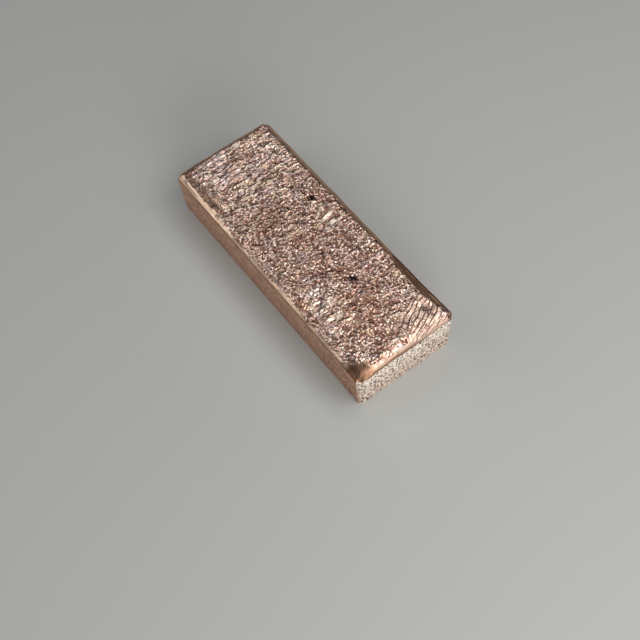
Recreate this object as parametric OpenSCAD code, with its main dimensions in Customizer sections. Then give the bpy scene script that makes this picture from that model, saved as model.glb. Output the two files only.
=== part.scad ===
// Small copper ingot, poured into an open bar mould and left to freeze.
// X runs along the bar, Y across it and Z upwards. The origin is the middle of the base.

/* [Block] */
// Length over the rim, where the bar is longest
length = 118; // [80:1:200]
// Width over the rim, where the bar is widest
width = 44.3; // [32:0.1:76]
// Height of the top face above the floor
height = 22.2; // [16:0.1:40]
// Angle of each mould wall from upright, which lets the bar drop out of the mould
draft = 3; // [0:0.5:8]
// Radius of the upright corners where they meet the floor
foot_corner_r = 0.8; // [0.3:0.1:5]

/* [Rolled rim] */
// How far below the top face the frozen skin leaves the mould wall
rim_drop = 3.4; // [1:0.1:6]
// How far in from the wall the skin becomes level
rim_reach = 3.9; // [1:0.1:8]
// How far below the top face the skin leaves the wall at the four corners
corner_drop = 4.6; // [1:0.1:8]
// How far in from each corner, along its diagonal, the skin becomes level
corner_reach = 7; // [3:0.5:12]

/* [Blow holes] */
// Radius of the gas bubble that left each hole
bubble_r = 1.4; // [0.8:0.1:4]
// Depth of each hole below the top face
hole_depth = 1.6; // [0.5:0.1:3]
// Distance of the far hole from the middle of the bar, along it
far_hole_along = -15.3; // [-30:0.1:30]
// Distance of the far hole from the middle of the bar, across it
far_hole_across = 12.5; // [-10:0.1:14]
// Distance of the near hole from the middle of the bar, along it
near_hole_along = 23.5; // [-30:0.1:30]
// Distance of the near hole from the middle of the bar, across it
near_hole_across = 2.4; // [-10:0.1:14]

/* [Hidden] */

// Smoothness of every round surface
$fn = 96;
// How far a cutting solid runs past what it cuts
past = 1;
// Height of the line where the skin leaves the mould wall
rim_height = height - rim_drop;
// How far each wall leans in from the rim down to the floor
lean = rim_height * tan(draft);
// How far each wall would lean out from the rim up to the top face
lean_above = rim_drop * tan(draft);
// Radius of the upright corners at the rim
rim_corner_r = foot_corner_r + lean;
// Centres of the upright corners
corner_x = length / 2 - rim_corner_r;
corner_y = width / 2 - rim_corner_r;
// Distance between opposite corners, measured at 45 degrees to the walls
corner_span = 2 * ((corner_x + corner_y) * cos(45) + rim_corner_r);

// Radius of the arc that is level at the top and falls by `drop` over `reach`
function skin_r(drop, reach) = (drop * drop + reach * reach) / (2 * drop);

// Part of the mould's hollow between two leaning walls that are `span` apart at the rim
module between_walls(span, run) {
    rotate([90, 0, 90])
        linear_extrude(run, center = true)
            polygon([
                [-span / 2 + lean, 0],
                [span / 2 - lean, 0],
                [span / 2 + lean_above, height],
                [-span / 2 - lean_above, height],
            ]);
}

// Hollow of the mould up to the top face, with its four round corners
module mould_hollow() {
    between_walls(width, 2 * corner_x);
    rotate([0, 0, 90]) between_walls(length, 2 * corner_y);
    for (x = [-corner_x, corner_x], y = [-corner_y, corner_y])
        translate([x, y, 0])
            cylinder(h = height, r1 = foot_corner_r, r2 = rim_corner_r + lean_above);
}

// Slab as high as the bar, whose two long top edges carry the skin's arc.
// Its arcs are `drop` below the top where they are `span` apart.
module under_skin(span, drop, reach) {
    r = skin_r(drop, reach);
    level = span - 2 * reach;
    arc_foot = max(height - r, 0);
    rotate([90, 0, 90])
        linear_extrude(length + width, center = true) {
            translate([-level / 2, -past]) square([level, height + past]);
            translate([-level / 2 - r, -past]) square([level + 2 * r, arc_foot + past]);
            for (side = [-1, 1])
                translate([side * level / 2, height - r]) circle(r);
        }
}

// Pit that a gas bubble left in the top face
module blow_hole(along, across) {
    translate([along, across, height - hole_depth + bubble_r]) sphere(bubble_r);
}

module ingot() {
    color("#b98a75")
        difference() {
            intersection() {
                mould_hollow();
                under_skin(width, rim_drop, rim_reach);
                rotate([0, 0, 90]) under_skin(length, rim_drop, rim_reach);
                rotate([0, 0, 45]) under_skin(corner_span, corner_drop, corner_reach);
                rotate([0, 0, -45]) under_skin(corner_span, corner_drop, corner_reach);
            }
            blow_hole(far_hole_along, far_hole_across);
            blow_hole(near_hole_along, near_hole_across);
        }
}

ingot();
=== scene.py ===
# %% [markdown]
# # A small copper ingot, as it came out of the mould
#
# The bar was made in one pour. Its walls and base took the shape of an iron mould, so they are flat,
# lean in a little towards the floor and are peppered with pinholes. Its top froze in the open air: a
# thin skin set first and wrinkled like foil as the metal under it shrank, and surface tension rolled
# the skin over into a smooth rim where it met the mould.
#
# The construction part gives the exact block. Here the block gets its skin. All sizes are in metres;
# `MM` turns millimetres into them.

import math

import bpy
from mathutils import Matrix, Vector


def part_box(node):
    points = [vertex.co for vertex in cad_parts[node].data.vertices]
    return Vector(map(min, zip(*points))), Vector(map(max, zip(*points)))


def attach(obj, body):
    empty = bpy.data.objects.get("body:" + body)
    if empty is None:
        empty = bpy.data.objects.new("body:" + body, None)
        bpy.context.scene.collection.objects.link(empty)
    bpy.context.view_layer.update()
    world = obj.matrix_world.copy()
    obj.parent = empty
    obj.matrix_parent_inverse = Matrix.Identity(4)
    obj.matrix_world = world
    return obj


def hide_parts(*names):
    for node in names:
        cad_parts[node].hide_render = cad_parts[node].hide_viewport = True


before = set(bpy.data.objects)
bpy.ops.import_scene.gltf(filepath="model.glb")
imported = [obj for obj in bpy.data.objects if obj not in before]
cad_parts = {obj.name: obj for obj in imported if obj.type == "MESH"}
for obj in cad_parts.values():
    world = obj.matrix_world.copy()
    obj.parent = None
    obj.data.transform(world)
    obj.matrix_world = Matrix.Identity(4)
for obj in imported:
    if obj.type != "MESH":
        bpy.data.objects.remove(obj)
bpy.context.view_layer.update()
low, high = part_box("ingot")
MM = 0.001
length, width, height = high - low
print("CAD block, mm:", [round(side / MM, 1) for side in (length, width, height)])

# %% [markdown]
# ## The camera and the studio
#
# The camera looks down on one corner of the bar from its long side. Its place is written as a turn
# and a height angle about a point on the floor, and as a distance in bar lengths, so it would follow
# a longer bar. A slight roll leans the picture, as a hand-held camera does.


# %% Camera
def direction(azimuth, elevation):
    """Unit vector from the bar towards a place in the studio. Azimuth 0 is in front, 90 is at +X."""
    turn, rise = math.radians(azimuth), math.radians(elevation)
    level = math.cos(rise)
    return Vector((math.sin(turn) * level, -math.cos(turn) * level, math.sin(rise)))


def aim(thing, place, back, roll=0.0):
    """Puts a camera or a lamp at `place`, looking along minus `back`."""
    right = Vector((0, 0, 1)).cross(back).normalized()
    up = back.cross(right)
    turned_right = right * math.cos(roll) + up * math.sin(roll)
    turned_up = up * math.cos(roll) - right * math.sin(roll)
    axes = Matrix((turned_right, turned_up, back)).transposed().to_4x4()
    thing.matrix_world = Matrix.Translation(place) @ axes


camera = bpy.data.objects.new("camera", bpy.data.cameras.new("camera"))
bpy.context.scene.collection.objects.link(camera)
bpy.context.scene.camera = camera
camera.data.lens = 67.5
camera.data.clip_start = 0.01
camera_distance = 3.905
camera_roll = math.radians(-5.4)
looking_at = Vector((0.167 * length, -0.092 * length, low.z))
back = direction(azimuth=57.7, elevation=59.4)
aim(camera, looking_at + back * camera_distance * length, back, camera_roll)
print("camera stands", round(camera_distance * length / MM), "mm away")

# %% [markdown]
# A metal shows its surroundings more than its own colour, so the lights make half of its look. A
# large softbox hangs high behind the near end and gives the wrinkles their bright flanks, and a small
# one over the far end lights what is level. Dimmer boxes fill the long side and the low horizon, which
# the steep part of the rolled rim mirrors. Each box is set by the brightness of its face, where 1 is
# the brightness that the picture shows as white.


# %% Softboxes
def softbox(name, azimuth, elevation, distance, size, brightness, colour=(1, 1, 1)):
    """A square lamp that faces the bar. Distance and size are in bar lengths."""
    lamp = bpy.data.lights.new(name, "AREA")
    lamp.shape = "SQUARE"
    lamp.size = size * length
    lamp.energy = brightness * math.pi * lamp.size**2
    lamp.color = colour
    thing = bpy.data.objects.new(name, lamp)
    bpy.context.scene.collection.objects.link(thing)
    towards = direction(azimuth, elevation)
    aim(thing, towards * distance * length, towards)


softbox("key", 117, 54, 6, 3.9, 4.0, (1.0, 0.98, 0.95))
softbox("top_fill", 238, 60, 6.5, 2.3, 2.3)
softbox("side_fill", 320, 36, 6, 5.0, 1.25)
softbox("back_fill", 178, 62, 6, 1.8, 2.4)
softbox("low_fill", 107, 17, 6, 3.4, 0.9)
softbox("end_fill", 72, 12, 6, 4.0, 7.4)
softbox("far_fill", 165, 15, 7, 2.2, 1.4)
bpy.context.scene.view_settings.view_transform = "Standard"

# %% [markdown]
# The room is nearly dark, so that the boxes draw crisp highlights. A bright room would light the
# wrinkles from all sides and flatten them. The floor is one plain pale sheet.

# %% Room and floor
world = bpy.data.worlds.new("dim_room")
bpy.context.scene.world = world
world.use_nodes = True
room = world.node_tree.nodes["Background"]
room.inputs["Color"].default_value = (1.0, 0.98, 0.95, 1)
room.inputs["Strength"].default_value = 0.08

bpy.ops.object.select_all(action="DESELECT")
bpy.ops.mesh.primitive_plane_add(size=40 * length, location=(0, 0, low.z))
floor = bpy.context.object
floor.name = "floor"
paint = bpy.data.materials.new("pale_floor")
paint.use_nodes = True
paint_shader = paint.node_tree.nodes["Principled BSDF"]
paint_shader.inputs["Base Color"].default_value = (0.39, 0.40, 0.39, 1)
paint_shader.inputs["Roughness"].default_value = 0.6
floor.data.materials.append(paint)
print("floor is", round(floor.dimensions.x, 2), "m wide")

# %% [markdown]
# ## Short formulas for node trees
#
# Both the relief and the finish are formulas over the surface. A node tree of fifty Math nodes is
# hard to read in code, so a `Field` stands for one output, and ordinary arithmetic on fields adds
# the Math nodes. The same helper serves geometry trees and material trees. Sizes of noise and cells
# are given as lengths, because a length is easier to picture than a texture's Scale.


# %% Field arithmetic
class Field:
    """One value or vector at every point of the surface."""

    def __init__(self, maker, socket):
        self.maker = maker
        self.socket = socket

    def __add__(self, other):
        flat = isinstance(other, tuple) or self.socket.type == "VECTOR"
        return self.maker.vmath("ADD", self, other) if flat else self.maker.math("ADD", self, other)

    def __sub__(self, other):
        return self.maker.math("SUBTRACT", self, other)

    def __rsub__(self, other):
        return self.maker.math("SUBTRACT", other, self)

    def __mul__(self, other):
        return self.maker.math("MULTIPLY", self, other)

    def __truediv__(self, other):
        return self.maker.math("DIVIDE", self, other)

    __radd__ = __add__
    __rmul__ = __mul__


class Maker:
    """Adds nodes to one tree and hands their outputs back as fields."""

    def __init__(self, tree):
        self.tree = tree

    def node(self, kind, feeds=None, **settings):
        made = self.tree.nodes.new(kind)
        made.location = (180 * len(self.tree.nodes), 0)
        for name, value in settings.items():
            setattr(made, name, value)
        for name, value in (feeds or {}).items():
            self.feed(made.inputs[name], value)
        return made

    def feed(self, socket, value):
        if isinstance(value, Field):
            self.tree.links.new(value.socket, socket)
        else:
            socket.default_value = value

    def field(self, made, output=0):
        return Field(self, made.outputs[output])

    def math(self, operation, *values):
        return self.field(self.node("ShaderNodeMath", dict(enumerate(values)), operation=operation))

    def vector(self, x=0.0, y=0.0, z=0.0):
        return self.field(self.node("ShaderNodeCombineXYZ", {0: x, 1: y, 2: z}))

    def split(self, vector):
        parts = self.node("ShaderNodeSeparateXYZ", {0: vector})
        return [self.field(parts, n) for n in range(3)]

    def ramp(self, value, start, end, low_value=0.0, high_value=1.0):
        """Eases from low_value to high_value as value goes from start to end."""
        feeds = {0: value, 1: start, 2: end, 3: low_value, 4: high_value}
        return self.field(self.node("ShaderNodeMapRange", feeds, interpolation_type="SMOOTHSTEP"))

    def noise(self, where, size, detail=0.0, roughness=0.5, output=0):
        """Soft noise from 0 to 1 whose blobs are about `size` apart."""
        feeds = {"Vector": where, "Scale": 1 / size, "Detail": detail, "Roughness": roughness}
        return self.field(self.node("ShaderNodeTexNoise", feeds), output)

    def cells(self, where, size):
        """Distance from the middle of Voronoi cells about `size` across."""
        return self.field(self.node("ShaderNodeTexVoronoi", {"Vector": where, "Scale": 1 / size}))

    def scaled(self, vector, by):
        feeds = {"Vector": vector, "Scale": by}
        return self.field(self.node("ShaderNodeVectorMath", feeds, operation="SCALE"))

    def vmath(self, operation, *values):
        made = self.node("ShaderNodeVectorMath", dict(enumerate(values)), operation=operation)
        single = operation in ("LENGTH", "DISTANCE", "DOT_PRODUCT")
        return self.field(made, 1 if single else 0)


# %% [markdown]
# ## The sheet
#
# The skin starts as one flat, very fine grid, a little larger than the bar's plan, because it has to
# reach round the rolled rim. A cube with bevelled edges would give the rim too, but its top would be
# one face. A grid keeps small even quads everywhere, and the wrinkles need those. The rim rolls down
# in an arc, and its drop and reach are the construction part's own sizes.

# %% Work out the rolled rim
rim_drop = 3.4 * MM
rim_reach = 3.9 * MM
rim_radius = (rim_drop**2 + rim_reach**2) / (2 * rim_drop)
rim_arc = rim_radius * math.asin(rim_reach / rim_radius)
sheet_x = length / 2 - rim_reach + rim_arc
sheet_y = width / 2 - rim_reach + rim_arc
print("rim radius", round(rim_radius / MM, 2), "mm, arc", round(rim_arc / MM, 2), "mm")

# %% [markdown]
# Half a millimetre is the finest wrinkle that an eye picks out on this skin, so quads of a quarter of
# a millimetre are enough. Anything finer is left to the finish.

# %% Lay the flat sheet
quad = 0.26 * MM
bpy.ops.object.select_all(action="DESELECT")
bpy.ops.mesh.primitive_grid_add(
    x_subdivisions=round(2 * sheet_x / quad),
    y_subdivisions=round(2 * sheet_y / quad),
    size=1,
    location=(0, 0, high.z),
)
ingot = bpy.context.object
ingot.name = "cast_ingot"
ingot.scale = (2 * sheet_x, 2 * sheet_y, 1)
bpy.ops.object.transform_apply(location=True, rotation=False, scale=True)
print("sheet has", len(ingot.data.polygons), "faces")

# %% [markdown]
# Steps that move every point by a rule are Geometry Nodes modifiers. Each is built from fields, added
# to the ingot and applied at once, so the mesh that leaves this file is plain.


# %% Apply a modifier tree
def apply_formula(piece, name, build):
    """Runs `build(make, geometry)` as a Geometry Nodes modifier on the piece and applies it."""
    tree = bpy.data.node_groups.new(name, "GeometryNodeTree")
    tree.interface.new_socket("Geometry", in_out="INPUT", socket_type="NodeSocketGeometry")
    tree.interface.new_socket("Geometry", in_out="OUTPUT", socket_type="NodeSocketGeometry")
    make = Maker(tree)
    start = make.field(make.node("NodeGroupInput"))
    make.node("NodeGroupOutput", {0: build(make, start)})
    modifier = piece.modifiers.new(name, "NODES")
    modifier.node_group = tree
    bpy.ops.object.select_all(action="DESELECT")
    bpy.context.view_layer.objects.active = piece
    piece.select_set(True)
    bpy.ops.object.modifier_apply(modifier=name)
    bpy.data.node_groups.remove(tree)


def stored(make, geometry, name, value, kind="FLOAT"):
    """Writes a field onto the points, so that later steps and the finish can read it."""
    made = make.node("GeometryNodeStoreNamedAttribute", data_type=kind, domain="POINT")
    make.feed(made.inputs["Geometry"], geometry)
    make.feed(made.inputs["Name"], name)
    value_socket = [s for s in made.inputs if s.name == "Value" and s.enabled][0]
    make.feed(value_socket, value)
    return make.field(made)


# %% [markdown]
# Along each axis a point past the level part walks round the rim's arc, so it goes out by a sine and
# down by a cosine. At a corner both arcs act together, which makes the corner lower than the sides,
# as on a casting. Last, the corner of the plan is pulled in from a square to a quarter circle. Each
# point keeps its old place on the flat sheet, because the wrinkles are easier to lay out there.

# %% Fold the rim
rim_corner_radius = 2.4 * MM
tiny = 1e-9


def fold_rim(make, geometry):
    x, y, z = make.split(make.field(make.node("GeometryNodeInputPosition")))
    halves = (length / 2, width / 2)
    across, falls, signs = [], [], []
    for value, sheet_half in ((x, sheet_x), (y, sheet_y)):
        signs.append(make.math("SIGN", value))
        out = make.math("ABSOLUTE", value)
        angle = make.math("MAXIMUM", (out - (sheet_half - rim_arc)) / rim_radius, 0.0)
        level = make.math("MINIMUM", out, sheet_half - rim_arc)
        across.append(level + make.math("SINE", angle) * rim_radius)
        falls.append((1.0 - make.math("COSINE", angle)) * rim_radius)
    fall = make.math("SQRT", falls[0] * falls[0] + falls[1] * falls[1])
    past = [
        make.math("MAXIMUM", out - (half - rim_corner_radius), 0.0)
        for out, half in zip(across, halves)
    ]
    longer = make.math("MAXIMUM", *past)
    diagonal = make.math("SQRT", past[0] * past[0] + past[1] * past[1])
    keep = longer / make.math("MAXIMUM", diagonal, tiny)
    rounded = [
        (make.math("MINIMUM", out, half - rim_corner_radius) + over * keep) * sign
        for out, half, over, sign in zip(across, halves, past, signs)
    ]
    geometry = stored(make, geometry, "sheet", make.vector(x / MM, y / MM), "FLOAT_VECTOR")
    place = make.vector(rounded[0], rounded[1], z - fall)
    return make.field(make.node("GeometryNodeSetPosition", {"Geometry": geometry, "Position": place}))


apply_formula(ingot, "fold_rim", fold_rim)
edge_height = min(point.co.z for point in ingot.data.vertices)
print("lowest corner of the rim is", round((high.z - edge_height) / MM, 2), "mm below the top")

# %% [markdown]
# ## The frozen skin
#
# The relief is laid out on the flat sheet in millimetres, so that distances on it are true. `Skin`
# adds the few shapes that all of it is made from: a soft spot, noise that has been pushed about, and
# billows, which are round hills parted by sharp valleys like creased foil.


# %% Shapes on the sheet
class Skin(Maker):
    """Geometry nodes that know their place on the flat sheet: u along the bar, v across it, in mm."""

    def __init__(self, tree):
        super().__init__(tree)
        self.flat = self.field(
            self.node("GeometryNodeInputNamedAttribute", {"Name": "sheet"}, data_type="FLOAT_VECTOR")
        )
        self.u, self.v, _ = self.split(self.flat)

    def __getitem__(self, name):
        """A field that an earlier step stored."""
        return self.field(self.node("GeometryNodeInputNamedAttribute", {"Name": name}, data_type="FLOAT"))

    def near(self, spot, reach, core=0.0):
        """1 at a spot, easing to 0 at its two reaches; the core share of them stays at 1."""
        away = self.vector((self.u - spot[0]) / reach[0], (self.v - spot[1]) / reach[1])
        return self.ramp(self.vmath("LENGTH", away), 1.0, core)

    def largest(self, fields):
        top = fields[0]
        for field in fields[1:]:
            top = self.math("MAXIMUM", top, field)
        return top

    def pushed(self, size, reach, seed, stretch=1.0):
        """The sheet pushed about by up to `reach` in blobs of `size`; features come out long in v."""
        push = self.noise(self.vector(self.u, self.v, seed), size, detail=1.0, output=1)
        push = self.vmath("SUBTRACT", push, (0.5, 0.5, 0.5))
        moved = self.vmath("ADD", self.flat, self.vmath("MULTIPLY", push, (reach, reach, 0.0)))
        return self.vmath("MULTIPLY", moved, (1.0, 1 / stretch, 1.0))

    def billow(self, where, size, detail=1.0, roughness=0.5):
        """Round hills about `size` apart, parted by sharp valleys."""
        return self.math("ABSOLUTE", self.noise(where, size, detail, roughness) * 2 - 1)

    def lifted(self, across, along):
        """A lifted scale of skin: a slope that falls from 1 to 0 across it, with a steep back."""
        rise = self.ramp(across, 0.0, 0.22)
        return rise * self.math("MAXIMUM", 1.0 - across, 0.0) * self.ramp(along, 1.0, 0.5)


def lay_on_skin(build):
    """Stores each field that `build(skin)` returns on the ingot's points, and prints its span."""
    names = []

    def store_all(make, geometry):
        for name, value in build(Skin(make.tree)).items():
            geometry = stored(make, geometry, name, value)
            names.append(name)
        return geometry

    apply_formula(ingot, build.__name__, store_all)
    for name in names:
        values = sorted(item.value for item in ingot.data.attributes[name].data)
        print(f"{name}: from {values[0]:.2f} to {values[-1]:.2f}, middle {values[len(values) // 2]:.2f}")


# %% [markdown]
# The skin crumpled where it froze in the open, and stayed smooth where it had rolled over against the
# mould. The border between the two wanders, because the metal didn't cool evenly. Two areas on the
# rim are smooth further in: a long band on one side, and one whole corner that froze last.

# %% Where the top is crumpled
smooth_band_spot = (38.0, 23.5)
low_corner_spot = (60.0, -23.0)
film_reach = 10.0
border_start = 3.2
border_end = 4.8


def crumpled_area(skin):
    to_long_wall = sheet_y / MM - skin.math("ABSOLUTE", skin.v)
    to_end_wall = sheet_x / MM - skin.math("ABSOLUTE", skin.u)
    from_wall = skin.math("MINIMUM", to_long_wall, to_end_wall)
    wobble = (skin.noise(skin.flat, 5, detail=2) - 0.5) * 5.5
    fine_wobble = (skin.noise(skin.flat, 1.6, detail=1) - 0.5) * 2.8
    wander = from_wall + wobble + fine_wobble
    wander = wander + skin.near((59, 20), (16, 12)) * 2.0
    wander = wander + skin.ramp(skin.v, -10, -20) * 2.2 + skin.ramp(skin.u, 50, 57)
    wander = wander - skin.near((-46, -21), (24, 7), 0.5) * 1.2
    smooth_band = skin.near(smooth_band_spot, (19, 6.5), 0.62)
    from_corner = skin.vmath("DISTANCE", skin.flat, (*low_corner_spot, 0.0)) + fine_wobble * 0.8
    return {
        "from_wall": from_wall,
        "smooth_band": smooth_band,
        "corner_film": skin.ramp(from_corner, film_reach, 7.5),
        "corner_slope": skin.ramp(from_corner, 11.0, 4.0),
        "open_skin": skin.ramp(wander, border_start, border_end)
        * (1.0 - smooth_band)
        * (1.0 - skin.ramp(from_corner, film_reach, 8.0)),
        "settle": skin.ramp(to_long_wall, 0.2, 2.2) * skin.ramp(to_end_wall, 0.2, 2.2),
    }


lay_on_skin(crumpled_area)

# %% [markdown]
# The wrinkles change over the top. The middle has short crumbs. Towards the cold end, and beside the
# near rim, the skin was dragged as it froze and has long silky flakes that lie across the bar. Small
# facets and grit ride on both. Sculpting them by hand would take days, so each kind is noise of its
# own size, and the push makes its lines wander. Heights are in millimetres.

# %% Wrinkles
crumple_height = 0.84
facet_depth = 0.38
grit_height = 0.38
strand_height = 0.55


def wrinkles(skin):
    crumb_place = skin.pushed(size=1.8, reach=2.0, seed=0.0, stretch=1.2)
    crumbs = skin.billow(crumb_place, size=1.05, detail=2, roughness=0.58)
    flake_place = skin.pushed(size=5.0, reach=2.2, seed=7.0, stretch=3.2)
    flakes = skin.billow(flake_place, size=0.95, detail=3, roughness=0.6)
    to_cold_end = (skin.noise(skin.flat, 12) - 0.5) * 24 - skin.u
    dragged = skin.largest([skin.ramp(to_cold_end, 20, 34), skin.near((28, -14), (15, 10), 0.4)])
    plain = 1.0 - dragged * 0.25
    crumple = crumbs + (flakes - crumbs) * dragged * 0.8
    facet_place = skin.pushed(size=1.5, reach=1.4, seed=3.0, stretch=1.6)
    facets = skin.cells(facet_place, size=0.9) * plain
    grit_place = skin.pushed(size=1.0, reach=0.8, seed=5.0, stretch=1.5)
    grit = skin.billow(grit_place, size=0.7) * plain
    strand_place = skin.pushed(size=9.0, reach=2.4, seed=11.0, stretch=4.5)
    strands = skin.billow(strand_place, size=2.2) * dragged
    patchy = skin.ramp(skin.noise(skin.flat, 8, detail=1), 0.3, 0.7, 0.75, 1.2)
    fine = crumple * crumple_height - facets * facet_depth + grit * grit_height
    return {
        "crumple": crumple - facets * 0.4,
        "strands": strands,
        "wrinkle_height": fine * patchy + strands * strand_height,
    }


lay_on_skin(wrinkles)

# %% [markdown]
# At one corner the sliding skin piled up into about seven folds, like a rug pushed against a wall. Each
# fold has a broad bright flank and a steep back. A sine would give both flanks the same slope, so the
# folds are made from a saw-tooth, with its line bent a little by noise.

# %% Corner folds
fold_gap = 1.75
fold_height = 0.72
fold_across = (0.90, 0.43)


def corner_folds(skin):
    zone = skin.ramp(skin.u + skin.v * 0.3, 47.5, 50.5) * skin.ramp(skin.v, 1, 8)
    zone = zone * skin.ramp(skin.v, 21.5, 18.5)
    bend = (skin.noise(skin.flat, 9, detail=1) - 0.5) * 2.6
    wave = (skin.u * fold_across[0] + skin.v * fold_across[1]) / fold_gap + bend
    step = skin.math("FRACT", wave)
    uneven = skin.ramp(skin.noise(skin.flat, 3.0), 0.35, 0.65, 0.45, 0.85)
    saw = skin.ramp(step, 0.0, 0.2) * (1.0 - step)
    return {
        "fold_zone": zone,
        "fold_valley": skin.ramp(skin.math("ABSOLUTE", step - 0.06), 0.12, 0.02) * zone,
        "fold_height": saw * uneven * fold_height * zone * skin.ramp(skin["from_wall"], 0.7, 2.2),
    }


lay_on_skin(corner_folds)

# %% [markdown]
# A few scales of skin stand out: smooth tongues of two to ten millimetres that lifted on one side.
# They could be separate leaves of metal, but they are the same skin, so they are raised from it. Each
# is given by its middle, its half width and half length, the turn of its length from straight across
# the bar, and its height, in millimetres and degrees.

# %% Lifted scales
scale_share = 0.8
scales = [
    ((-7.7, 10.1), 0.7, 2.8, 40, 0.6),
    ((-4.8, 12.2), 0.9, 3.5, 14, 0.8),
    ((-1.4, 12.2), 0.9, 2.8, 6, 0.8),
    ((-0.2, 8.6), 0.8, 1.2, 20, 0.5),
    ((-8.2, 16.2), 0.6, 3.4, -24, 0.45),
    ((-9.5, -1.7), 0.8, 1.8, 15, 0.6),
    ((-8.0, -4.6), 0.6, 3.0, -45, 0.4),
    ((42.9, 14.8), 1.0, 1.9, -24, 0.75),
    ((54.4, -1.4), 0.9, 2.0, -10, 0.75),
    ((-45.6, -11.5), 0.9, 2.6, 6, 0.75),
    ((-53.6, -11.0), 0.6, 4.8, 6, 0.4),
    ((33.0, -13.6), 0.7, 4.6, -14, 0.5),
    ((36.8, -10.6), 0.6, 3.2, -14, 0.4),
]


def lifted_scales(skin):
    total, mask = None, []
    for spot, half_width, half_length, turn, rise in scales:
        cosine, sine = math.cos(math.radians(turn)), math.sin(math.radians(turn))
        u, v = skin.u - spot[0], skin.v - spot[1]
        across = (u * cosine + v * sine) / (2 * half_width) + 0.5
        along = skin.math("ABSOLUTE", v * cosine - u * sine) / half_length
        bent = across + along * along * 0.25
        shape = skin.lifted(bent, along) * (rise * scale_share)
        total = shape if total is None else total + shape
        inside = skin.ramp(along, 1.1, 0.7) * skin.ramp(skin.math("ABSOLUTE", bent - 0.5), 0.65, 0.45)
        mask.append(inside * rise)
    return {"scale_height": total, "on_scale": skin.largest(mask)}


lay_on_skin(lifted_scales)

# %% [markdown]
# The coarse shape comes from slow cooling: the top swells and sags by a few tenths, the last corner
# sinks, and the smooth band hangs over the far wall. The far rim has fine cross ripples, and one lip
# near the cold end stands proud of a groove. Without this step the wrinkles would lie on a table top.

# %% Slow swells, sags and lips
swell_height = 0.8
lump_height = 1.15
ripple_height = 0.35
streak_height = 0.25
groove_depth = 0.45


def slow_shape(skin):
    swell = (skin.noise(skin.flat, 24) - 0.5) * swell_height
    lumps = (skin.noise(skin.flat, 6.5, detail=1) - 0.5) * lump_height * skin["open_skin"]
    sag = skin["corner_slope"] * 0.5 + skin.near((57.0, -20.2), (6.5, 6.5)) * 0.9
    hang = skin["smooth_band"] * skin.ramp(skin.v, 16.5, 22.0) * 0.9
    across_rim = skin.vector(skin.u, skin.v * 0.12, 5.0)
    ripple = (skin.noise(across_rim, 1.3, detail=1) - 0.5) * ripple_height
    ripple = ripple * skin.ramp(skin.v, 13, 18) * skin.ramp(skin["from_wall"], 0.6, 2.5)
    ripple = ripple * skin.ramp(skin.u, -50, 10, 0.3, 1) * (1.0 - skin["fold_zone"])
    towards_corner = skin.vector(skin.u * 0.07 - skin.v * 0.03, skin.u * 0.36 + skin.v * 0.93, 0.0)
    streaks = (skin.noise(towards_corner, 0.9, detail=1) - 0.5) * streak_height * skin["corner_film"]
    groove = skin.near((-44.0, -19.0), (19.0, 2.4), 0.4) * groove_depth
    return {
        "groove": groove,
        "streaks": streaks,
        "slow_height": swell + lumps - sag - hang + ripple + streaks - groove,
    }


lay_on_skin(slow_shape)

# %% [markdown]
# Gas left the metal last. Where it broke through there are two blow holes and a few pits, whose dark
# insides are painted shade in the finish, and where it only sucked the skin down there are plain dents.
# A nest of small curved folds is pressed into the near rim. A boolean cut would leave a hard edge on a
# fine mesh, so each hollow is pressed in.
# It is given by its middle, its reach, the share of it that is level, and its depth in millimetres.

# %% Holes and dents
holes = [
    ((-16.0, 12.1), (1.6, 1.3), 0.3, 1.6),
    ((-14.7, 12.9), (1.7, 1.2), 0.3, 1.5),
    ((22.9, 1.7), (1.4, 1.3), 0.35, 1.5),
    ((23.9, 2.9), (1.4, 1.3), 0.35, 1.6),
    ((23.3, 12.0), (1.2, 1.0), 0.0, 0.9),
    ((31.1, 7.7), (1.2, 1.1), 0.0, 0.9),
]
dents = [
    ((56.6, 0.6), (2.0, 1.5), 0.2, 0.8),
    ((27.6, -19.9), (2.6, 1.8), 0.0, 0.8),
    ((7.0, -20.9), (5.0, 1.5), 0.3, 0.35),
    ((-31.6, -21.6), (1.6, 1.4), 0.0, 0.6),
]
nest_spot = (21.4, -19.6)
nest_gap = 1.5
nest_depth = 0.2


def hollows(skin):
    def pressed(spots):
        depth = 0.0
        for spot, reach, core, deep in spots:
            depth = skin.near(spot, reach, core) * deep + depth
        return depth

    nest = skin.near(nest_spot, (4.4, 2.4), 0.5)
    from_bend = skin.v - nest_spot[1]
    ripples = skin.math("SINE", (skin.u + from_bend * from_bend * 0.3) * 2 * math.pi / nest_gap)
    hole = pressed(holes)
    return {
        "hole": hole,
        "nest": nest,
        "hollow_height": ripples * nest * nest_depth - hole - pressed(dents),
    }


lay_on_skin(hollows)

# %% [markdown]
# Now the parts are added up and every point moves along its normal. The wrinkles step back where the
# folds and the scales are, so that those stay clean. The sum is eased to nothing at the line where
# the skin met the mould, and that line itself rises and dips by a few tenths.

# %% Push the skin out
mean_rise = 0.32
dip_height = 1.8


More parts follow.
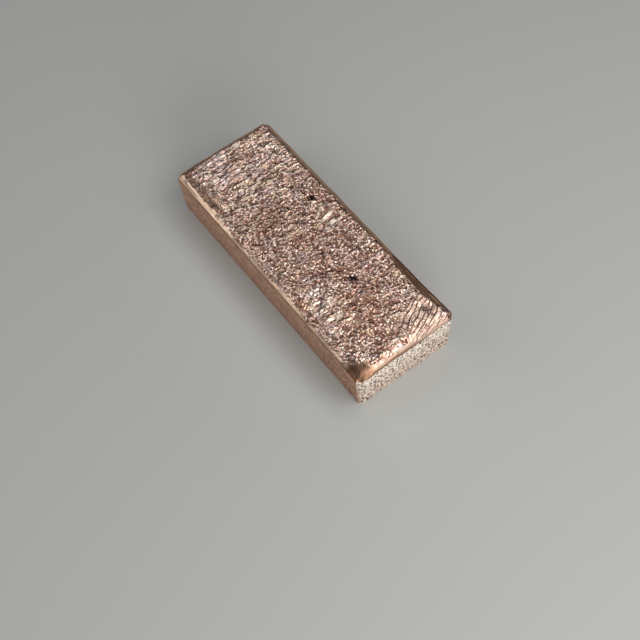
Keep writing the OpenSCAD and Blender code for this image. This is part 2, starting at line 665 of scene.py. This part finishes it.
def push_out(make, geometry):
    skin = Skin(make.tree)
    smooth_places = [skin["fold_zone"] * 0.75, skin["on_scale"] * 0.7, skin["nest"] * 0.7]
    calm = 1.0 - skin.largest([*smooth_places, skin.ramp(skin["hole"], 0.02, 0.35) * 0.9])
    relief = skin["wrinkle_height"] * skin["open_skin"] * calm
    relief = relief + skin["fold_height"] + skin["scale_height"] * skin["open_skin"]
    relief = relief + skin["slow_height"] + skin["hollow_height"] - mean_rise
    normal = skin.field(skin.node("GeometryNodeInputNormal"))
    push = skin.scaled(normal, relief * skin["settle"] * MM)
    dip = (skin.noise(skin.flat, 10, detail=2) - 0.5) * dip_height
    dip = dip + skin.near((59, 23), (30, 14)) * 0.9 - skin.near((59, -23), (16, 14)) * 0.9
    dip = dip * skin.ramp(skin["from_wall"], 3.6, 0.0)
    push = push + skin.vector(0.0, 0.0, dip * MM)
    return skin.field(skin.node("GeometryNodeSetPosition", {"Geometry": geometry, "Offset": push}))


apply_formula(ingot, "push_out", push_out)
print("highest crest, mm:", round(max(point.co.z for point in ingot.data.vertices) / MM, 2))

# %% [markdown]
# The two arcs of the rim cross at each corner and leave a faint ridge there. Smoothing the points
# around a corner melts the ridge away. On the corner that froze last the smoothing reaches further.

# %% Melt the corner ridges
def select_points(piece, wanted):
    """Selects the points whose place, in metres, satisfies `wanted`."""
    bpy.ops.object.mode_set(mode="EDIT")
    bpy.ops.mesh.select_mode(type="VERT")
    bpy.ops.mesh.select_all(action="DESELECT")
    bpy.ops.object.mode_set(mode="OBJECT")
    for vertex in piece.data.vertices:
        vertex.select = wanted(vertex.co)
    bpy.ops.object.mode_set(mode="EDIT")


def melt_corner(side_x, side_y, reach, passes):
    """Smooths the points within `reach` of a corner, apart from the sheet's own edge."""
    corner = Vector((side_x * length / 2, side_y * width / 2))
    edge = 0.2 * MM

    def wanted(place):
        inside = abs(place.x) < length / 2 - edge and abs(place.y) < width / 2 - edge
        return inside and (place.to_2d() - corner).length < reach

    select_points(ingot, wanted)
    bpy.ops.mesh.vertices_smooth(factor=0.5, repeat=passes)
    bpy.ops.object.mode_set(mode="OBJECT")


melt_corner(1, -1, 6.5 * MM, 60)
melt_corner(1, -1, 3.5 * MM, 60)
for side_x, side_y in ((1, 1), (-1, 1), (-1, -1)):
    melt_corner(side_x, side_y, 3.0 * MM, 40)
print("highest crest after melting, mm:", round(max(point.co.z for point in ingot.data.vertices) / MM, 2))

# %% [markdown]
# ## The walls and the base
#
# The walls are drawn straight down by extruding the sheet's open edge and flattening the new edge on
# the floor. Then one flat face closes the base. A separate box under the sheet would leave a seam at
# the rim, and drawn walls share the rim's own points.


# %% Draw the walls down
def select_edges(piece, wanted):
    """Selects the edges whose two end points, in metres, satisfy `wanted`."""
    bpy.ops.object.mode_set(mode="EDIT")
    bpy.ops.mesh.select_mode(type="EDGE")
    bpy.ops.mesh.select_all(action="DESELECT")
    bpy.ops.object.mode_set(mode="OBJECT")
    points = [vertex.co for vertex in piece.data.vertices]
    for edge in piece.data.edges:
        edge.select = wanted(points[edge.vertices[0]], points[edge.vertices[1]])
    bpy.ops.object.mode_set(mode="EDIT")


wall_rows = 4
bpy.ops.object.mode_set(mode="EDIT")
bpy.ops.mesh.select_mode(type="EDGE")
bpy.ops.mesh.select_all(action="DESELECT")
bpy.ops.mesh.select_non_manifold()
bpy.ops.mesh.extrude_edges_move(TRANSFORM_OT_translate={"value": (0, 0, -height / 4)})
bpy.ops.transform.resize(value=(1, 1, 0), center_override=(0, 0, low.z))
bpy.ops.mesh.edge_face_add()
select_edges(ingot, lambda a, b: min(a.z, b.z) < low.z + MM < max(a.z, b.z))
bpy.ops.mesh.subdivide(number_cuts=wall_rows - 1)
bpy.ops.object.mode_set(mode="OBJECT")
print("with walls and base:", len(ingot.data.polygons), "faces")

# %% [markdown]
# A mould wall leans out by three degrees, so that the bar drops out. Every wall point moves in by its
# depth below the rim times the tangent of that angle. At the corners it moves towards the corner's
# own centre, which makes the upright edge a cone, sharper at the foot than at the rim.

# %% Lean the walls
rim_height = high.z - rim_drop
draft_angle = 3
lean = math.tan(math.radians(draft_angle))


def lean_walls(make, geometry):
    x, y, z = make.split(make.field(make.node("GeometryNodeInputPosition")))
    inset = make.math("MAXIMUM", rim_height - z, 0.0) * lean
    keep = 1.0 - inset / rim_corner_radius
    leaned = []
    for value, half in ((x, length / 2), (y, width / 2)):
        centre = half - rim_corner_radius
        out = make.math("ABSOLUTE", value)
        past = make.math("MAXIMUM", out - centre, 0.0)
        leaned.append((make.math("MINIMUM", out, centre) + past * keep) * make.math("SIGN", value))
    place = make.vector(leaned[0], leaned[1], z)
    return make.field(make.node("GeometryNodeSetPosition", {"Geometry": geometry, "Position": place}))


apply_formula(ingot, "lean_walls", lean_walls)
foot_points = [point.co for point in ingot.data.vertices if point.co.z < low.z + MM / 2]
print("foot is", round(2 * max(point.x for point in foot_points) / MM, 2), "mm long")

# %% [markdown]
# A casting's foot is never knife-sharp, because molten copper doesn't run right into the mould's inner
# corner. A small bevel softens it. Then the normals are set outward and the shading is made smooth.

# %% Soften the foot
foot_bevel = 0.35 * MM
select_edges(ingot, lambda a, b: max(a.z, b.z) < low.z + foot_bevel)
bpy.ops.mesh.bevel(offset=foot_bevel, segments=2, affect="EDGES")
bpy.ops.mesh.select_all(action="SELECT")
bpy.ops.mesh.normals_make_consistent(inside=False)
bpy.ops.object.mode_set(mode="OBJECT")
bpy.ops.object.shade_smooth()
print("lowest point, mm:", round(min(point.co.z for point in ingot.data.vertices) / MM, 4))
print("triangles:", sum(len(face.vertices) - 2 for face in ingot.data.polygons))

# %% [markdown]
# ## The finish: bare cast copper
#
# Copper is orange where it is bare. Air turns it from there to brown, and thin films of oxide give
# violet and golden tints. The finish starts from one metal shader, and the masks that the relief left
# on the points say where each tint belongs. Places are read from Object coordinates, in millimetres.

# %% Start the copper
copper = bpy.data.materials.new("cast_copper")
copper.use_nodes = True
mix = Maker(copper.node_tree)
shader = copper.node_tree.nodes["Principled BSDF"]
shader.inputs["Specular Tint"].default_value = (0.87, 0.67, 0.58, 1)


def worn(name):
    """A mask stored on the skin by the relief."""
    return mix.field(mix.node("ShaderNodeAttribute", attribute_name=name), 2)


def blend(share, first, second):
    """Mixes two colours, the first where share is 0."""
    made = mix.node("ShaderNodeMix", {0: share, 6: first, 7: second}, data_type="RGBA")
    return mix.field(made, 2)


def patches(size, start, end, seed=0.0, detail=3, roughness=0.6):
    """Soft patches about `size` mm apart, 1 inside; they cover less as start and end rise."""
    return mix.ramp(mix.noise(place + (seed, seed, 0), size, detail, roughness), start, end)


place = mix.scaled(mix.field(mix.node("ShaderNodeTexCoord"), 3), 1 / MM)
along, across, up = mix.split(place)
wall = mix.ramp(worn("from_wall"), 0.06, 0.0)
skin = 1.0 - wall
open_skin = worn("open_skin")
crumple = worn("crumple")
print("one shader, with", len(ingot.data.attributes), "attributes to draw on")

# %% [markdown]
# On the crumpled top, crests are painted pale, partly rubbed wear and partly a painted highlight. The
# low parts are painted a deep red-brown, partly oxide and partly painted shade for the colour that light
# takes when it bounces between two copper flanks, and the bottoms of the valleys are painted dark as
# shade. Over both lie broad brown clouds, small golden and pale patches and, in a few places, a violet
# film.

# %% Tarnish on the open skin
bare = (0.88, 0.67, 0.58, 1)
pale = (0.98, 0.90, 0.84, 1)
oxide = (0.55, 0.31, 0.22, 1)
deep = (0.43, 0.21, 0.15, 1)
golden = (0.84, 0.67, 0.45, 1)
pale_gold = (0.96, 0.86, 0.70, 1)
purple = (0.36, 0.29, 0.34, 1)
painted_crevice_shade = (0.17, 0.065, 0.035, 1)

dull_spots = [((38, -3), (19, 15), 0.3, 1.0), ((-8, 0), (24, 9), 0.2, 0.7)]
violet_spots = [(8.4, -0.1), (14.9, 8.6), (3.4, 3.7), (34.4, 9.8), (43.0, 14.5)]
violet_spots += [(-49.9, -5.6), (13.0, -11.0)]


def spot(middle, reach, core=0.0):
    """1 at a place on the plan, easing to 0 at its two reaches, in mm."""
    away = mix.vector((along - middle[0]) / reach[0], (across - middle[1]) / reach[1])
    return mix.ramp(mix.vmath("LENGTH", away), 1.0, core)


dull = 0.0
for middle, reach, core, share in dull_spots:
    dull = mix.math("MAXIMUM", spot(middle, reach, core) * share, dull)
violet = 0.0
for middle in violet_spots:
    violet = mix.math("MAXIMUM", spot(middle, (4.0, 3.2)), violet)
violet = mix.math("MAXIMUM", patches(5, 0.50, 0.66, 40) * 0.8, violet * patches(1.5, 0.35, 0.6))

brown = patches(9, 0.40, 0.62, roughness=0.65)
valley = mix.ramp(crumple, -0.04, -0.20) * open_skin
crest = mix.ramp(crumple, 0.06, 0.24) * open_skin
colour = blend(mix.math("MAXIMUM", brown * 0.6, dull * 0.7) * skin, bare, oxide)
# partly oxide and partly painted shade: the low parts of the crumple are painted deep red-brown
colour = blend(mix.ramp(crumple, 0.04, -0.12) * open_skin * 0.55, colour, deep)
colour = blend(patches(4, 0.48, 0.62, 70) * 0.5 * skin, colour, golden)
# partly rubbed wear and partly a painted highlight: the crests are painted pale
colour = blend(crest * (1.0 - dull * 0.6) * 0.45, colour, pale)
colour = blend(patches(2.6, 0.50, 0.66, 30, roughness=0.7) * 0.45 * open_skin, colour, pale)
colour = blend(violet * 0.55 * open_skin, colour, purple)
# painted shade: the bottoms of the crumple's valleys are painted near black-brown
colour = blend(valley * 0.85, colour, painted_crevice_shade)
colour = blend(patches(0.9, 0.52, 0.66, 15, detail=1) * 0.35 * open_skin, colour, deep)
print("tarnish takes", len(copper.node_tree.nodes), "nodes")

# %% [markdown]
# The smooth rim keeps a thin film. It is cream along the near side and the open end, and brown along
# the far side and on the low corner, where fine streaks run down towards the point. The same brown
# film colour is painted into the groove and along the crease where the skin meets the mould, partly as
# a film and partly as painted shade. The folds are clean, and the dark lines between them are painted
# shade.

# %% Films on the rim
cream = (0.92, 0.66, 0.47, 1)
end_cream = (0.50, 0.38, 0.29, 1)
fold_tint = (0.60, 0.43, 0.35, 1)
film = (0.27, 0.145, 0.09, 1)
dark_film = (0.13, 0.065, 0.04, 1)
amber = (0.33, 0.18, 0.11, 1)
red_brown = (0.50, 0.22, 0.15, 1)
painted_hole_shade = (0.05, 0.035, 0.035, 1)

rim = (1.0 - open_skin) * skin
far_side = mix.ramp(across, 14.0, 20.0) * mix.ramp(along, 57.0, 54.0)
far_brown = far_side * mix.ramp(along, -30, -10, 0.4, 0.75)
patchy_brown = patches(7, 0.5, 0.7, 25) * mix.ramp(across, -18, -12, 0.3, 0.6)
rim_brown = mix.math("MAXIMUM", far_brown, patchy_brown)
rim_cream = blend(mix.ramp(along, 50.0, 54.0), cream, end_cream)
colour = blend(rim * 0.85, colour, blend(rim_brown, rim_cream, oxide))
# partly film and partly painted shade: a dark line along the crease where the skin meets the mould
contact_film_and_shade = mix.ramp(worn("from_wall"), mix.ramp(across, -20, -12, 0.9, 2.4), 0.6) * skin
colour = blend(contact_film_and_shade * 0.85, colour, film)
# partly film and partly painted shade: the groove is painted the same dark brown
colour = blend(mix.ramp(worn("groove"), 0.05, 0.35) * 0.75, colour, film)
colour = blend(worn("smooth_band") * skin * 0.85, colour, film)
streaky = mix.ramp(worn("streaks"), -0.06, 0.06, 0.2, 0.8)
colour = blend(worn("corner_film") * skin * 0.95, colour, blend(streaky, dark_film, amber))
red_places = mix.math("MAXIMUM", worn("nest"), spot((56.2, 1.2), (2.6, 2.0), 0.3))
colour = blend(red_places * 0.4, colour, red_brown)
colour = blend(worn("fold_zone") * 0.6, colour, fold_tint)
colour = blend(worn("on_scale") * open_skin * 0.4, colour, pale_gold)
# partly wear and partly a painted highlight: the raised strands are painted pale
colour = blend(mix.ramp(worn("strands"), 0.12, 0.4) * open_skin * 0.25, colour, pale)
# painted shade: the dark lines in the valleys between the folds
colour = blend(worn("fold_valley") * 0.6, colour, painted_crevice_shade)
# painted shade: the insides of the holes are painted near black
colour = blend(mix.ramp(worn("hole"), 0.3, 1.1) * 0.92, colour, painted_hole_shade)
print("with the films it takes", len(copper.node_tree.nodes), "nodes")

# %% [markdown]
# The mould's coating leaves walls that are dull and peppered with pinholes. The end faces are painted
# chalky and pale and the long walls browner, partly the coating's own tone and partly painted light on
# the ends and painted shade on the long walls. A pinhole is a small round spot in a Voronoi cell, with
# its own chance to be large or small, and the shade inside it is painted dark. Modelled holes would
# need millions of faces. A solid pattern would be cut into slices of odd sizes by the walls, so each
# face is first laid flat, in `face_place`. The end faces are painted darker towards the foot.


# %% Lay pinholes on the mould faces
on_end = mix.ramp(mix.math("ABSOLUTE", along), 57.0, 57.5)
on_base = mix.ramp(up, 0.06, 0.02)
face_along = along + (across - along) * on_end * (1.0 - on_base)
face_place = mix.vector(face_along, up + (across - up) * on_base)


def pinholes(size, seed, radius):
    """Round holes of up to `radius` mm, one in each cell of `size` mm; 1 in a hole."""
    feeds = {"Vector": face_place + (seed, seed, 0), "Scale": 1 / size, "Randomness": 0.9}
    made = mix.node("ShaderNodeTexVoronoi", feeds, voronoi_dimensions="2D")
    chance = mix.split(mix.field(made, 1))[0]
    inside = (chance * 0.7 + 0.3) * radius - mix.field(made) * size
    return mix.ramp(inside, -0.03, 0.08)


chalky_and_lit_pale = (1.0, 0.90, 0.79, 1)
darker_foot_tone = (0.78, 0.64, 0.54, 1)
long_wall_brown_and_shade = (0.88, 0.57, 0.43, 1)
painted_pit_shade = (0.07, 0.035, 0.025, 1)

end_pits = on_end * mix.ramp(along, -1, 1, 0.75, 1.0)
pit_reach = mix.math("MAXIMUM", end_pits, mix.ramp(along, -30, 50, 0.5, 0.8))
small_pits = pinholes(size=1.05, seed=0.0, radius=pit_reach * 0.40)
large_pits = pinholes(size=1.7, seed=9.0, radius=pit_reach * 0.60)
pits = mix.math("MAXIMUM", small_pits, large_pits) * wall
cloudy = patches(3.5, 0.40, 0.66, detail=4, roughness=0.7)
stain = patches(1.2, 0.44, 0.66, detail=2)
flecks = patches(1.0, 0.50, 0.66, 60, detail=2)
# the end faces are painted darker towards the foot
end_colour = blend(mix.ramp(up, 2.0, 17.0), darker_foot_tone, chalky_and_lit_pale)
# partly coating and partly painted light and shade: pale chalk on the end faces, brown on the long walls
face = blend(on_end, long_wall_brown_and_shade, end_colour)
face = blend(cloudy * mix.ramp(on_end, 0, 1, 0.7, 0.25), face, oxide)
face = blend(stain * mix.ramp(on_end, 0, 1, 0.6, 0.25), face, film)
face = blend(flecks * 0.3, face, chalky_and_lit_pale)
colour = blend(wall, colour, face)
# painted shade: the pinholes are bump only, so the shade inside each is painted dark
colour = blend(pits * 0.92, colour, painted_pit_shade)
mix.feed(shader.inputs["Base Color"], colour)
print("with the pinholes it takes", len(copper.node_tree.nodes), "nodes")

# %% [markdown]
# The open skin is the shiniest part. The rim's film and the brown clouds blur it a little, and the
# chalky walls are the dullest and the least metallic, because the mould coating stays in the surface.
# A pinhole is bare inside, so it keeps its full metal; the dark inside it is painted shade.

# %% Gloss and metal
crest_roughness = 0.20
rim_roughness = (1.0 - open_skin) * skin * 0.18
skin_roughness = crest_roughness + rim_roughness + brown * 0.06 + worn("on_scale") * 0.12
mix.feed(shader.inputs["Roughness"], skin_roughness + wall * 0.16)
coating = wall * mix.ramp(on_end, 0, 1, 0.12, 0.62) * (1.0 - pits)
mix.feed(shader.inputs["Metallic"], 1.0 - coating)
print("roughness on a clean crest:", crest_roughness)

# %% [markdown]
# What is finer than the mesh is bump: the grain of the cast surface, the pinholes' depth, the waviness
# of the mould's coating and a fine crinkle on the open skin. Bump only turns the light, so it is kept
# for what no outline shows. Heights are in millimetres.

# %% Fine bump
grain = mix.noise(place, 0.45, detail=2)
crinkle_place = mix.vmath("MULTIPLY", place, (1.0, 0.6, 1.0))
crinkle = mix.math("ABSOLUTE", mix.noise(crinkle_place, 0.6, 2) * 2 - 1)
surface = grain * 0.06 - pits * 0.18 + cloudy * wall * 0.1 + crinkle * open_skin * 0.08
bump = mix.node("ShaderNodeBump", {"Height": surface, "Distance": MM, "Strength": 1.0})
mix.feed(shader.inputs["Normal"], mix.field(bump))
ingot.data.materials.append(copper)
print("finish has", len(copper.node_tree.nodes), "nodes")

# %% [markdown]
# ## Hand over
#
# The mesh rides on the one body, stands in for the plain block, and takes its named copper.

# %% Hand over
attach(ingot, "root")
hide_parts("ingot")
